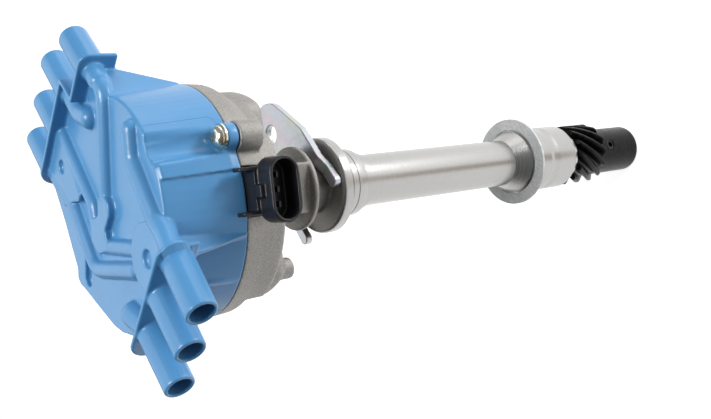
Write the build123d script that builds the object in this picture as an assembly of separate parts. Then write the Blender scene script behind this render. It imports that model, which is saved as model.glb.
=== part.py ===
from build123d import *
import math
import os

# Ignition distributor with a crab-style cap, in millimetres.
# The origin is on the shaft axis at the underside of the mounting flange; +Z runs up to the cap.
# +X points to the row of four towers (coil and three plugs), -X to the row of three plugs.

# Fits and gaps
running_gap = 0.05
press_gap = 0.02
rest_gap = 0.3

# Mounting flange, clamp groove and disc of the housing
flange_r = 20.75
flange_upper_r = 20.15
flange_t = 5.6
groove_r = 11.3
groove_h = 10.0
disc_r = 17.9
disc_t = 2.5
disc_z = flange_t + groove_h
neck_r = 12.3
neck_flare_z = 30.0
neck_top_r = 23.0
pad_width = 21.0
pad_face = 13.4
pad_offset = 1.6
pad_azimuth = -141.0

# Hub, stem and pilot below the flange
hub_r = 14.8
hub_depth = 12.8
collar_r = 12.6
collar_depth = 16.6
stem_r = 11.5
flare_r = 15.6
pilot_depth = 118.4
flare_depth = pilot_depth - 8.4
pilot_r = 16.2
pilot_end_depth = 151.7
waist_depth = pilot_end_depth - 10.2
waist_width = 7.5
waist_cut = 0.35

# Bowl of the housing
joint_z = 67.5
bowl_floor_z = 48.5
floor_t = 3.5
rim_r = 45.75
rim_low_r = 45.3
rim_low_z = 59.5
wall_top_z = 54.8
bowl_r = 41.9
bowl_edge = 2.5
cavity_r = 41.2
cavity_low_r = 39.6
cavity_step_z = 61.0
block_low_z = 41.5
block_half_w = 25.5
block_azimuth = -41.0
block_wall = 4.5
block_corner = 7.0
block_edge = 4.0
apron_low_z = 50.5
apron_azimuth = -150.0
apron_half_angle = 44.0
apron_edge = 2.0
peg_r = 4.2
peg_end_z = 37.0
peg_radius = 36.7
peg_azimuth = 170.4
vent_r = 3.6
vent_radius = 31.5
vent_azimuths = (37.0, 61.0)

# Screw ears that hold the cap
ear_radius = 47.0
ear_azimuths = (-106.8, 73.2)
ear_r = 5.1
ear_t = 4.8
ear_boss_h = 9.5
screw_r = 2.0
screw_hole_r = 2.3
screw_reach = 9.0
washer_r = 4.9
washer_t = 0.7
screw_head_r = 4.2
screw_head_t = 2.6

# Bushings, seal and shaft
shaft_r = 6.2
bushing_r = 8.6
upper_bushing_z = 26.0
upper_bushing_h = 18.0
lower_bushing_h = 20.0
lower_bushing_inset = 1.0
core_r = 7.6
seal_r = 10.5
seal_h = 5.0
shaft_top_z = 63.0
drive_slot_w = 3.2
drive_slot_h = 5.0

# Washers between the pilot and the gear
washer_stack_gap = 0.3
thrust_washer_r = 13.2
thrust_washer_t = 1.4
wave_washer_r = 13.8
wave_washer_t = 0.5
wave_height = 1.2

# Helical drive gear
gear_teeth = 13
gear_tip_r = 15.75
gear_root_r = 12.35
gear_top_depth = pilot_end_depth + 4.9
gear_face = 23.4
gear_helix = 35.0
gear_hub_end_depth = gear_top_depth + 54.9
shaft_end_depth = gear_hub_end_depth - 10.5
gear_bore_r = shaft_r + running_gap
gear_socket_r = 7.0
roll_pin_r = 2.4
roll_pin_wall = 0.8
roll_pin_depth = gear_top_depth + 31.1
roll_pin_azimuth = -120.0

# Base gasket and hold-down clamp
gasket_r = 21.8
gasket_bore_r = 16.35
gasket_t = 1.2
clamp_top_z = 11.0
clamp_t = 3.2
clamp_reach = 33.0
clamp_tip_x = 34.5
clamp_bolt_r = 4.2
clamp_end_r = 12.9
clamp_half_w = 18.6
clamp_gap_half_w = 13.4
clamp_far_leg_out = 3.0
clamp_far_leg_reach = 3.5
clamp_shoulder_x = 19.0
clamp_leg_x = -11.5
clamp_bend_x = 3.0
clamp_bend_run = 6.0
clamp_shift = 1.6
clamp_yaw = -6.0

# Cap
cap_top_z = 98.0
cap_top_r = 42.7
cap_wall = 2.6
cap_plate_t = 3.6
spigot_r = 40.8
spigot_t = 2.2
spigot_h = 3.0
screw_channel_r = 5.3
screw_channel_wall = 1.8

# Towers
tower_z = 98.0
tower_r = 5.95
tower_tip_r = 5.75
tower_bore_r = 4.35
tower_bore_depth = 19.0
terminal_seat_r = 3.9
terminal_seat_depth = 8.6
coil_tower_y = -35.5
coil_tower_tip = 59.3
plus_towers_y = (-15.85, 3.8, 23.45)
plus_tower_tip = 71.3
minus_towers_y = (-24.4, -4.6, 15.2)
minus_tower_tip = -70.5

# Shields behind the towers
shield_t = 1.6
plus_shield_top_z = 104.2
minus_shield_top_z = 104.8
shield_bottom_z = 89.5
coil_shield_x = 38.0
coil_shield_y = (-42.8, -21.0)
plus_shield_x = 49.8
plus_shield_y = (-21.0, 32.0)
minus_shield_x = -44.5
minus_shield_y = (-28.3, 29.5)
near_corner = 4.5
far_corner = 7.5

# Far edge of the plate, from the plus shield round to the minus shield
far_edge = [
    (33.7, 37.4),
    (22.8, 42.0),
    (14.0, 45.6),
    (11.8, 49.0),
    (8.6, 49.6),
    (4.4, 47.8),
    (-10.5, 43.1),
    (-23.4, 38.7),
    (-29.6, 35.1),
    (-36.0, 29.5),
]

# Webs under the wings and pads on the wall
web_t = 1.8
minus_webs_y = (-21.8, -4.3, 15.5)
wall_pad_azimuth = -117.8
wall_pad_half_w = 3.3
pad_split_z = 70.3
pad_proud = 0.8

# Raised conductor ribs on the cap's plate
rib_r = 3.1
coil_rib_r = 3.3
near_rib_r = 3.9
t4_rib_r = 3.4
coil_elbow_r = 3.9
plug_elbow_r = 4.3
far_elbow_r = 5.4
rib_routes = [
    (coil_rib_r, 8.0, [(coil_shield_x, coil_tower_y), (26.0, coil_tower_y), (4.0, -1.5)]),
    (coil_elbow_r, 6.0, [(coil_shield_x, coil_tower_y), (32.0, coil_tower_y)]),
    (plug_elbow_r, 5.0, [(plus_shield_x, plus_towers_y[0]), (38.5, -15.2), (31.5, -18.6)]),
    (rib_r, 6.0, [(plus_shield_x, plus_towers_y[1]), (12.0, 8.4), (0.5, 18.5), (-24.0, -4.5)]),
    (t4_rib_r, 8.0, [(plus_shield_x, plus_towers_y[2]), (26.0, 22.0), (-2.0, 29.5), (-27.5, 3.0)]),
    (near_rib_r, 6.0, [(1.5, -37.8), (-5.0, -30.2), (-29.0, -24.2), (minus_shield_x, minus_towers_y[0])]),
    (far_elbow_r, 6.0, [(minus_shield_x, minus_towers_y[2]), (-34.5, 19.0)]),
]
island_x = 1.6
island_y = 0.2
island_r = 5.2
island_neck = [
    (5.2, 3.5),
    (4.2, 5.8),
    (8.0, 12.6),
    (4.0, 19.0),
    (-4.0, 18.5),
    (-9.5, 10.5),
    (-3.4, 5.9),
    (-3.6, 2.0),
]
platform = [
    (plus_shield_x, 27.0),
    (30.4, 26.0),
    (26.5, 20.0),
    (20.2, 13.6),
    (20.5, 10.5),
    (30.0, 8.0),
    (plus_shield_x, 4.0),
]
raised_round = 1.2
platform_dimple = (40.5, 13.5)
platform_dimple_r = 3.0
boss_x = -34.6
boss_y = -10.9
boss_r = 13.0
boss_dimple_r = 3.6
dimple_depth = 1.8
far_recess = (5.2, 38.2)
far_recess_size = (6.0, 13.0)
far_recess_depth = 2.4
far_recess_turn = 27.0

# Contacts inside the cap
contact_ring_r = 28.7
contact_azimuth = 9.0
contact_count = 6
contact_r = 2.4
contact_length = 11.0
terminal_r = 3.2
terminal_length = 8.0
terminal_wall = 0.8
terminal_base_t = 1.2
brush_r = 2.4
brush_length = 7.5
brush_boss_r = 5.2
spring_wire_r = 0.3
spring_r = 1.8
spring_turns = 4

# Rotor and shutter wheel
rotor_plate_z = 61.2
rotor_plate_t = 3.6
rotor_r = 24.5
rotor_mast_r = 10.0
rotor_top_z = 84.0
blade_t = 1.2
blade_w = 9.0
blade_gap = 0.7
rotor_screw_x = 16.0
rotor_screw_r = 2.0
rotor_screw_head_r = 3.6
rotor_screw_head_t = 2.4
wheel_r = 33.0
wheel_t = 1.5
wheel_hub_r = 10.0
wheel_skirt_h = 5.5
wheel_skirt_t = 1.2

# Camshaft position sensor with its connector
connector_azimuth = -135.0
socket_offset = 2.1
socket_z = 59.8
socket_w = 23.4
socket_h = 12.2
socket_wall = 1.3
socket_base = 52.0
socket_mouth = socket_base + 8.2
stub_half_w = 7.0
stub_offset = 2.4
stub_bottom_z = 56.5
stub_gap = 0.3
rail_t = 1.5
rail_top_z = 72.8
rail_base = socket_base - 5.1
pin_pitch = 5.2
pin_w = 2.0
pin_t = 0.8
pin_reach = 3.0
sensor_inner = 22.0
sensor_half_w = 13.0
sensor_h = 3.2
hall_gap = 0.6
sensor_screw_t = 9.5
sensor_screw_rho = 25.5

base_up = (Align.CENTER, Align.CENTER, Align.MIN)


def turned(*profile):
    """Solid of revolution about the shaft axis from (radius, height) points."""
    return revolve(Plane.XZ * Polygon(*profile, align=None), axis=Axis.Z)


def upright(radius, low, high, x=0.0, y=0.0):
    """Upright cylinder from one height to another."""
    return Pos(x, y, low) * Cylinder(radius, high - low, align=base_up)


def polar(radius, azimuth):
    """Plan position at a radius and an azimuth in degrees."""
    angle = math.radians(azimuth)
    return radius * math.cos(angle), radius * math.sin(angle)


def along_x(x_start, x_end, y, z, r_start, r_end):
    """Round bar or cone lying along X."""
    length = abs(x_end - x_start)
    heading = Plane(origin=(x_start, y, z), x_dir=(0, 1, 0), z_dir=(math.copysign(1, x_end - x_start), 0, 0))
    return heading * Cone(r_start, r_end, length, align=base_up) if r_start != r_end else \
        heading * Cylinder(r_start, length, align=base_up)


def tube(points, radius, bend):
    """Round bar with domed ends along a path of straight runs and arcs."""
    path = Polyline(*points) if len(points) == 2 else FilletPolyline(*points, radius=bend)
    bar = sweep(Plane(origin=path @ 0, z_dir=path % 0) * Circle(radius), path=path)
    for end in (points[0], points[-1]):
        bar += Pos(*end) * Sphere(radius)
    return bar


def radial_plane(azimuth):
    """Plane whose x is the tangent, y is up and z is the outward radius."""
    angle = math.radians(azimuth)
    tangent = (-math.sin(angle), math.cos(angle), 0)
    return Plane(origin=(0, 0, 0), x_dir=tangent, z_dir=(math.cos(angle), math.sin(angle), 0))


def radial_box(azimuth, t_range, z_range, rho_range):
    """Box given by tangent, height and radius ranges at an azimuth."""
    width = t_range[1] - t_range[0]
    height = z_range[1] - z_range[0]
    depth = rho_range[1] - rho_range[0]
    place = Pos(t_range[0], z_range[0], rho_range[0])
    corner = (Align.MIN, Align.MIN, Align.MIN)
    return radial_plane(azimuth) * place * Box(width, height, depth, align=corner)


def save(name, shape):
    """Write one node's solids to its own file."""
    solids = shape.solids()
    body = solids[0] if len(solids) == 1 else Compound(children=list(solids))
    body.label = name
    export_step(body, f"parts/{name}.step")


def make_housing():
    """Die-cast housing: bowl, neck, disc, flange, stem and pilot in one casting."""
    waist_top = -waist_depth + waist_width / 2
    waist_low = -waist_depth - waist_width / 2
    body = turned(
        (0, -pilot_end_depth),
        (pilot_r - 0.6, -pilot_end_depth),
        (pilot_r, -pilot_end_depth + 0.6),
        (pilot_r, waist_low),
        (pilot_r - waist_cut, waist_low + 0.8),
        (pilot_r - waist_cut, waist_top - 0.8),
        (pilot_r, waist_top),
        (pilot_r, -pilot_depth - 0.3),
        (pilot_r - 0.3, -pilot_depth),
        (flare_r, -pilot_depth),
        (flare_r, -pilot_depth + 1.2),
        (stem_r, -flare_depth),
        (stem_r, -collar_depth - 0.6),
        (collar_r, -collar_depth),
        (collar_r, -hub_depth - 1.2),
        (hub_r - 1.4, -hub_depth - 0.6),
        (hub_r - 0.3, -hub_depth + 0.4),
        (hub_r, -hub_depth + 1.6),
        (hub_r, 0),
        (flange_r - 0.4, 0),
        (flange_r, 0.4),
        (flange_r, flange_t - 1.3),
        (flange_upper_r, flange_t - 0.4),
        (flange_upper_r - 0.4, flange_t),
        (groove_r, flange_t),
        (groove_r, disc_z),
        (disc_r - 0.4, disc_z),
        (disc_r, disc_z + 0.4),
        (disc_r, disc_z + disc_t - 0.6),
        (disc_r - 0.6, disc_z + disc_t),
        (neck_r, disc_z + disc_t),
        (neck_r, neck_flare_z),
        (neck_top_r, block_low_z),
        (neck_top_r, bowl_floor_z),
        (bowl_r, bowl_floor_z),
        (bowl_r, wall_top_z),
        (rim_low_r, rim_low_z),
        (rim_r, joint_z),
        (0, joint_z),
    )
    for radius, height, bend in ((bowl_r, bowl_floor_z, bowl_edge), (bowl_r, wall_top_z, 3.0),
                                 (rim_low_r, rim_low_z, 4.0)):
        ring = body.edges().filter_by(GeomType.CIRCLE).sort_by(
            lambda edge: abs(edge.radius - radius) + abs(edge.center().Z - height))[0]
        body = fillet(ring, bend)
    # Flat cast pad on the neck, above the disc
    pad_low = disc_z + disc_t - 0.5
    pad_range = (pad_offset - pad_width / 2, pad_offset + pad_width / 2)
    body += radial_box(pad_azimuth, pad_range, (pad_low, neck_flare_z + 5), (neck_r - 6, pad_face))
    for azimuth in ear_azimuths:
        x, y = polar(ear_radius, azimuth)
        boss = upright(ear_r + 0.5, joint_z - ear_boss_h, joint_z, x, y)
        boss += radial_box(azimuth, (-ear_r - 0.5, ear_r + 0.5), (joint_z - ear_boss_h, joint_z),
                           (bowl_r - 1.5, ear_radius))
        body += boss
    body += make_block() + make_apron()
    for azimuth in (peg_azimuth, peg_azimuth - 180):
        x, y = polar(peg_radius, azimuth)
        peg = upright(peg_r, peg_end_z, bowl_floor_z + 1, x, y)
        body += fillet(peg.faces().sort_by(Axis.Z)[0].edges(), 1.0)
    # Bowl cavity, bushing seats, seal seat and the oil clearance between them
    floor_top = bowl_floor_z + floor_t
    body -= upright(cavity_r, cavity_step_z, joint_z)
    body -= upright(cavity_low_r, floor_top, cavity_step_z)
    body -= upright(core_r, -pilot_end_depth, floor_top)
    body -= upright(bushing_r, upper_bushing_z, floor_top)
    body -= upright(seal_r, floor_top - seal_h, floor_top)
    body -= upright(bushing_r, -pilot_end_depth, -pilot_end_depth + lower_bushing_inset + lower_bushing_h)
    for azimuth in ear_azimuths:
        x, y = polar(ear_radius, azimuth)
        body -= upright(screw_r + press_gap, joint_z - screw_reach - 0.5, joint_z, x, y)
    for azimuth in vent_azimuths:
        x, y = polar(vent_radius, azimuth)
        body -= upright(vent_r, bowl_floor_z, floor_top, x, y)
    # Notch in the rim for the sensor's connector
    notch = (stub_offset - stub_half_w - rail_t - stub_gap, stub_offset + stub_half_w + rail_t + stub_gap)
    body -= radial_box(connector_azimuth, notch, (stub_bottom_z - stub_gap, joint_z), (cavity_low_r - 3, rim_r + 4))
    for side in (-1, 1):
        place = radial_plane(connector_azimuth) * Pos(side * sensor_screw_t, floor_top - 3.2, sensor_screw_rho)
        body -= place * Rot(-90, 0, 0) * Cylinder(screw_r + press_gap, 3.2, align=base_up)
    return body


def make_block():
    """Hollow lower block across the bowl, a disc cut by two flats, open underneath."""
    def outline(inset):
        half = Circle(bowl_r - inset) & Rectangle(2 * bowl_r, 2 * (block_half_w - inset), rotation=block_azimuth)
        corner = block_corner - inset
        return offset(offset(half, amount=-corner), amount=corner)

    block_top = bowl_floor_z + bowl_edge + 0.5
    block = extrude(Pos(0, 0, block_low_z) * outline(0), block_top - block_low_z)
    block -= upright(cavity_low_r, bowl_floor_z + 1, block_top)
    block = fillet(block.faces().sort_by(Axis.Z)[0].edges(), block_edge)
    pocket = extrude(Pos(0, 0, block_low_z) * outline(block_wall), bowl_floor_z - block_low_z)
    return block - (pocket - upright(neck_top_r, block_low_z, bowl_floor_z))


def make_apron():
    """Front of the bowl, where the wall runs straight down past the step of its rim."""
    ring = upright(rim_low_r, apron_low_z, rim_low_z + 1)
    ring = fillet(ring.faces().sort_by(Axis.Z)[0].edges(), apron_edge)
    ring -= upright(cavity_r, apron_low_z, rim_low_z + 1)
    reach = 2 * rim_r
    corners = [(0, 0)] + [polar(reach, apron_azimuth + turn * apron_half_angle) for turn in (-1, 0, 1)]
    return ring & extrude(Polygon(*corners, align=None), rim_low_z + 1)


def make_bushing(low, height):
    """Sintered bushing pressed into the housing."""
    ring = upright(bushing_r - press_gap, low, low + height)
    return ring - upright(shaft_r + running_gap, low, low + height)


def make_oil_seal():
    """Lip seal in the seat at the bowl's floor."""
    top = bowl_floor_z + floor_t
    low = top - seal_h
    lip = shaft_r + running_gap
    return turned(
        (lip + 1.6, low),
        (seal_r - press_gap, low),
        (seal_r - press_gap, top),
        (lip + 0.6, top),
        (lip, top - 1.2),
        (lip + 1.6, top - 2.4),
    )


def make_floor_washer():
    """Thrust washer between the bowl's floor and the shutter wheel's hub."""
    low = bowl_floor_z + floor_t
    return upright(wheel_hub_r, low, low + wheel_t) - upright(shaft_r + running_gap, low, low + wheel_t)


def make_shaft():
    """Steel shaft with a drive slot at its lower end."""
    bar = upright(shaft_r, -shaft_end_depth, shaft_top_z)
    bar = chamfer(bar.faces().sort_by(Axis.Z)[-1].edges(), 0.6)
    bar -= Pos(0, 0, -shaft_end_depth) * Box(2 * shaft_r + 1, drive_slot_w, drive_slot_h, align=base_up)
    return bar - roll_pin_bar(roll_pin_r + press_gap)


def roll_pin_bar(radius):
    """Round bar along the roll pin's axis, through the gear's hub."""
    place = radial_plane(roll_pin_azimuth) * Pos(0, -roll_pin_depth, 0)
    return place * Cylinder(radius, 2 * gear_root_r + 2)


def make_roll_pin():
    """Split spring pin that locks the gear to the shaft."""
    place = radial_plane(roll_pin_azimuth) * Pos(0, -roll_pin_depth, 0)
    length = 2 * gear_root_r - 1.0
    pin = Cylinder(roll_pin_r, length) - Cylinder(roll_pin_r - roll_pin_wall, length)
    pin -= Pos(roll_pin_r, 0, 0) * Box(2 * roll_pin_wall + 1, 0.7, length)
    return place * pin


def make_gear():
    """Helical drive gear with its long hub."""
    pitch = 360 / gear_teeth
    low = -gear_top_depth - gear_face
    twist = math.degrees(gear_face * math.tan(math.radians(gear_helix)) / gear_tip_r)
    outline = []
    for tooth in range(gear_teeth):
        centre = tooth * pitch
        for radius, share in ((gear_root_r - 0.2, -0.36), (gear_tip_r - 0.5, -0.19), (gear_tip_r, -0.11),
                              (gear_tip_r, 0.11), (gear_tip_r - 0.5, 0.19), (gear_root_r - 0.2, 0.36)):
            outline.append(polar(radius, centre + share * pitch))
    blank = Pos(0, 0, low) * Polygon(*outline, align=None)
    teeth = Solid.extrude_linear_with_rotation(blank.face(), (0, 0, low), (0, 0, gear_face), twist)
    body = Part() + teeth + upright(gear_root_r, -gear_hub_end_depth, low + 2)
    ends = turned(
        (0, -gear_hub_end_depth),
        (gear_root_r - 0.8, -gear_hub_end_depth),
        (gear_root_r, -gear_hub_end_depth + 0.8),
        (gear_root_r, low - 0.6),
        (gear_tip_r + 0.1, low + 1.6),
        (gear_tip_r + 0.1, -gear_top_depth - 1.2),
        (gear_root_r + 0.6, -gear_top_depth),
        (0, -gear_top_depth),
    )
    body = body & ends
    body -= upright(gear_bore_r, -gear_hub_end_depth, -gear_top_depth)
    body -= upright(gear_socket_r, -gear_hub_end_depth, -shaft_end_depth - press_gap)
    return body - roll_pin_bar(roll_pin_r + press_gap)


def washer(outer, low, thickness):
    """Plain washer on the shaft."""
    return upright(outer, low, low + thickness) - upright(shaft_r + running_gap, low, low + thickness)


def washer_levels():
    """Lower faces of the three washers between the pilot and the gear."""
    thrust_low = -pilot_end_depth - washer_stack_gap - thrust_washer_t
    shim_low = -gear_top_depth + press_gap
    wave_low = (shim_low + thrust_washer_t + thrust_low - wave_height) / 2
    return thrust_low, wave_low, shim_low


def make_wave_washer(low):
    """Wavy spring washer with three crests."""
    ring = washer(wave_washer_r, low + wave_height / 2 - wave_washer_t / 2, wave_washer_t)
    for crest in range(3):
        x, y = polar(wave_washer_r - 2.2, crest * 120)
        ring += upright(1.6, low + wave_height / 2, low + wave_height, x, y)
        x, y = polar(wave_washer_r - 2.2, crest * 120 + 60)
        ring += upright(1.6, low, low + wave_height / 2, x, y)
    return ring


def make_gasket():
    """Loose fibre gasket, resting on the top of the pilot."""
    top = -pilot_depth - 0.3
    return upright(gasket_r, top - gasket_t, top) - upright(gasket_bore_r, top - gasket_t, top)


def make_clamp():
    """Stamped hold-down clamp: a fork round the groove, its legs bent down to the flange."""
    end = Pos(clamp_tip_x, 0) * Circle(clamp_end_r)
    far_gap = clamp_gap_half_w + clamp_far_leg_out
    fork = Polygon(
        (clamp_leg_x, -clamp_half_w),
        (clamp_shoulder_x, -clamp_half_w),
        (clamp_shoulder_x, clamp_half_w),
        (clamp_leg_x - clamp_far_leg_reach, clamp_half_w + clamp_far_leg_out),
        align=None,
    )
    plan = make_hull((end + fork).edges())
    plan -= Circle(clamp_gap_half_w)
    plan -= Polygon(
        (0, -clamp_gap_half_w),
        (0, clamp_gap_half_w),
        (-clamp_bend_run, far_gap),
        (-3 * clamp_half_w, far_gap),
        (-3 * clamp_half_w, -clamp_gap_half_w),
        align=None,
    )
    plan -= Pos(clamp_reach, 0) * Circle(clamp_bolt_r)
    foot_z = flange_t + rest_gap
    plate_z = clamp_top_z - clamp_t
    far = clamp_tip_x + 2 * clamp_end_r
    side = Plane.XZ * Polygon(
        (far, plate_z),
        (far, clamp_top_z),
        (clamp_bend_x, clamp_top_z),
        (clamp_bend_x - clamp_bend_run, foot_z + clamp_t),
        (-far, foot_z + clamp_t),
        (-far, foot_z),
        (clamp_bend_x - clamp_bend_run, foot_z),
        (clamp_bend_x, plate_z),
        align=None,
    )
    plate = extrude(plan, clamp_top_z + 1) & extrude(side, 2 * far, both=True)
    corners = plate.edges().filter_by(Axis.Z).filter_by_position(
        Axis.X, clamp_leg_x - clamp_far_leg_reach - 0.1, clamp_leg_x + 0.1)
    return Pos(0, clamp_shift, 0) * Rot(0, 0, clamp_yaw) * fillet(corners, 2.3)


def rounded_shield(x_low, y_range, top_z, low_radius, high_radius):
    """Thin upright plate across X behind a row of towers, with rounded upper corners."""
    width = y_range[1] - y_range[0]
    height = top_z - shield_bottom_z
    plate = Pos(x_low, y_range[0], shield_bottom_z) * Box(shield_t, width, height, align=(Align.MIN,) * 3)
    for side, radius in ((0, low_radius), (-1, high_radius)):
        if radius:
            corner = plate.edges().filter_by(Axis.X).group_by(Axis.Z)[-1].sort_by(Axis.Y)[side]
            plate = fillet(corner, radius)
    return plate


def tower(x_root, x_tip, y):
    """Tapered tower with a rounded lip."""
    bar = along_x(x_root, x_tip, y, tower_z, tower_r, tower_tip_r)
    tip = bar.faces().sort_by(Axis.X)[-1 if x_tip > 0 else 0]
    return fillet(tip.edges(), 0.8)


def tower_bore(x_tip, y):
    """Socket inside a tower."""
    inner = x_tip - math.copysign(tower_bore_depth, x_tip)
    step = inner + math.copysign(terminal_seat_depth, x_tip)
    seat = along_x(inner, step, y, tower_z, terminal_seat_r, terminal_seat_r)
    return seat + along_x(step, x_tip, y, tower_z, tower_bore_r, tower_bore_r)


def cap_ribs():
    """Conductor ribs, their elbows, the centre island and the round boss."""
    ribs = Part()
    for radius, bend, route in rib_routes:
        ribs += tube([(x, y, cap_top_z) for x, y in route], radius, bend)
    island = Pos(island_x, island_y) * Circle(island_r) + Polygon(*island_neck, align=None)
    raised = island + Polygon(*platform, align=None)
    for amount in (raised_round, -2 * raised_round, raised_round):
        raised = offset(raised, amount=amount)
    ribs += extrude(Pos(0, 0, cap_top_z - 1) * raised, rib_r + 1)
    boss = upright(boss_r, cap_top_z - 1, cap_top_z + rib_r, boss_x, boss_y)
    inboard = Pos(minus_shield_x, 0, cap_top_z) * Box(coil_shield_x - minus_shield_x, 2 * rim_r, 20, align=(
        Align.MIN, Align.CENTER, Align.CENTER))
    return ribs + (boss & inboard)


def cap_wings(plate_low):
    """Plate that reaches past the wall to the shields and along the far edge."""
    outline = [
        (coil_shield_x, coil_tower_y - web_t / 2),
        (coil_shield_x, coil_shield_y[1]),
        (plus_shield_x, plus_shield_y[0]),
        (plus_shield_x, plus_shield_y[1]),
    ]
    outline += far_edge
    outline += [
        (minus_shield_x, minus_shield_y[1] - far_corner / 2),
        (minus_shield_x, minus_towers_y[0]),
        (0, minus_towers_y[0]),
        (0, coil_tower_y - web_t / 2),
    ]
    return extrude(Pos(0, 0, plate_low) * Polygon(*outline, align=None), cap_plate_t)


def cap_webs(plate_low):
    """Triangular webs that carry the wings, down the outside of the wall."""
    webs = Part()
    places = [(coil_tower_y, coil_shield_x + shield_t / 2)]
    places += [(y, plus_shield_x + shield_t / 2) for y in plus_towers_y]
    places += [(y, minus_shield_x - shield_t / 2) for y in minus_webs_y]
    for y, reach in places:
        side = math.copysign(1, reach)
        foot = side * math.sqrt(rim_r ** 2 - y ** 2)
        web = Polygon(
            (foot - side * 6, joint_z),
            (foot, joint_z),
            (reach, shield_bottom_z + 0.5),
            (reach, plate_low + 1),
            (foot - side * 6, plate_low + 1),
            align=None,
        )
        webs += Pos(0, y, 0) * extrude(Plane.XZ * web, web_t / 2, both=True)
    return webs


def wall_pads():
    """Two flat raised pads on the near side of the wall."""
    pads = Part()
    draft = (rim_r - cap_top_r) / (cap_top_z - joint_z)
    inner = cap_top_r - cap_wall
    steps = ((joint_z + 0.3, pad_split_z - 0.4, pad_proud / 2), (pad_split_z, cap_top_z - 1, pad_proud))
    for low, high, proud in steps:
        low_r = rim_r - draft * (low - joint_z) + proud
        high_r = rim_r - draft * (high - joint_z) + proud
        side = Plane.XZ * Polygon((inner, low), (low_r, low), (high_r, high), (inner, high), align=None)
        pads += Rot(0, 0, wall_pad_azimuth) * extrude(side, wall_pad_half_w, both=True)
    return pads


def make_cap():
    """Cap with its drafted wall, plate, towers, shields and ribs."""
    shell = turned((0, joint_z), (rim_r, joint_z), (cap_top_r, cap_top_z), (0, cap_top_z))
    shell = fillet(shell.faces().sort_by(Axis.Z)[-1].edges(), 1.2)
    plate_low = cap_top_z - cap_plate_t
    body = shell + cap_wings(plate_low) + cap_webs(plate_low) + wall_pads()
    body += rounded_shield(coil_shield_x, coil_shield_y, plus_shield_top_z, near_corner, 0)
    body += rounded_shield(plus_shield_x, plus_shield_y, plus_shield_top_z, 0, far_corner)
    body += rounded_shield(minus_shield_x - shield_t, minus_shield_y, minus_shield_top_z, near_corner, far_corner)
    step = plus_shield_x - coil_shield_x + shield_t
    body += Pos(coil_shield_x, coil_shield_y[1] - shield_t, shield_bottom_z) * Box(
        step, shield_t, plus_shield_top_z - shield_bottom_z, align=(Align.MIN,) * 3)
    body += tower(coil_shield_x, coil_tower_tip, coil_tower_y)
    for y in plus_towers_y:
        body += tower(plus_shield_x, plus_tower_tip, y)
    for y in minus_towers_y:
        body += tower(minus_shield_x, minus_tower_tip, y)
    # Hollow inside, with a boss for the carbon brush
    inner_low_r = rim_r - cap_wall
    inner_top_r = cap_top_r - cap_wall
    hollow = turned((0, joint_z), (inner_low_r, joint_z), (inner_top_r, plate_low), (0, plate_low))
    channel_low = joint_z + ear_t
    for azimuth in ear_azimuths:
        x, y = polar(ear_radius, azimuth)
        hollow -= upright(screw_channel_r + screw_channel_wall, channel_low - screw_channel_wall, cap_top_z, x, y)
    body -= hollow
    body += cap_ribs() & Pos(0, 0, plate_low) * Box(200, 200, 40, align=base_up)
    for place, radius in (((boss_x, boss_y), boss_dimple_r), (platform_dimple, platform_dimple_r)):
        dimple = Cone(radius - dimple_depth / 2, radius, dimple_depth, align=(Align.CENTER, Align.CENTER, Align.MAX))
        body -= Pos(*place, cap_top_z + rib_r) * dimple
    recess = SlotOverall(far_recess_size[1], far_recess_size[0], rotation=90 + far_recess_turn)
    body -= extrude(Pos(*far_recess, cap_top_z - far_recess_depth) * recess, far_recess_depth + 1)
    body += upright(brush_boss_r, rotor_top_z + 5, cap_top_z)
    spigot = upright(spigot_r, joint_z - spigot_h, joint_z + 1) - upright(
        spigot_r - spigot_t, joint_z - spigot_h, joint_z + 1)
    spigot += turned((spigot_r - spigot_t, joint_z), (inner_low_r + 0.5, joint_z),
                     (inner_low_r + 0.5, joint_z + 1.5), (spigot_r - spigot_t, joint_z + 1.5))
    notch = (stub_offset - stub_half_w - 2 * rail_t, stub_offset + stub_half_w + 2 * rail_t)
    spigot -= radial_box(connector_azimuth, notch, (joint_z - spigot_h - 1, joint_z), (spigot_r - 6, rim_r))
    body += spigot
    for azimuth in ear_azimuths:
        x, y = polar(ear_radius, azimuth)
        channel_top = cap_top_z + 1 if azimuth < 0 else plate_low
        body -= upright(screw_channel_r, channel_low, channel_top, x, y)
        ear = upright(ear_r, joint_z, joint_z + ear_t, x, y)
        ear += radial_box(azimuth, (-ear_r, ear_r), (joint_z, joint_z + ear_t), (rim_r - cap_wall, ear_radius))
        body += ear
        body -= upright(screw_hole_r, joint_z, joint_z + ear_t, x, y)
    # Sockets, brush pocket and contact holes
    body -= tower_bore(coil_tower_tip, coil_tower_y)
    for y in plus_towers_y:
        body -= tower_bore(plus_tower_tip, y)
    for y in minus_towers_y:
        body -= tower_bore(minus_tower_tip, y)
    body -= upright(brush_r + 0.2, rotor_top_z + 5, cap_top_z + 0.6)
    for index in range(contact_count):
        x, y = polar(contact_ring_r, contact_azimuth + index * 360 / contact_count)
        body -= upright(contact_r + press_gap, plate_low, plate_low + 2.2, x, y)
    return body


def make_contacts():
    """Six contact posts inside the cap."""
    plate_low = cap_top_z - cap_plate_t
    posts = Part()
    for index in range(contact_count):
        x, y = polar(contact_ring_r, contact_azimuth + index * 360 / contact_count)
        posts += upright(contact_r, plate_low - contact_length, plate_low + 2.2, x, y)
    return posts


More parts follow.
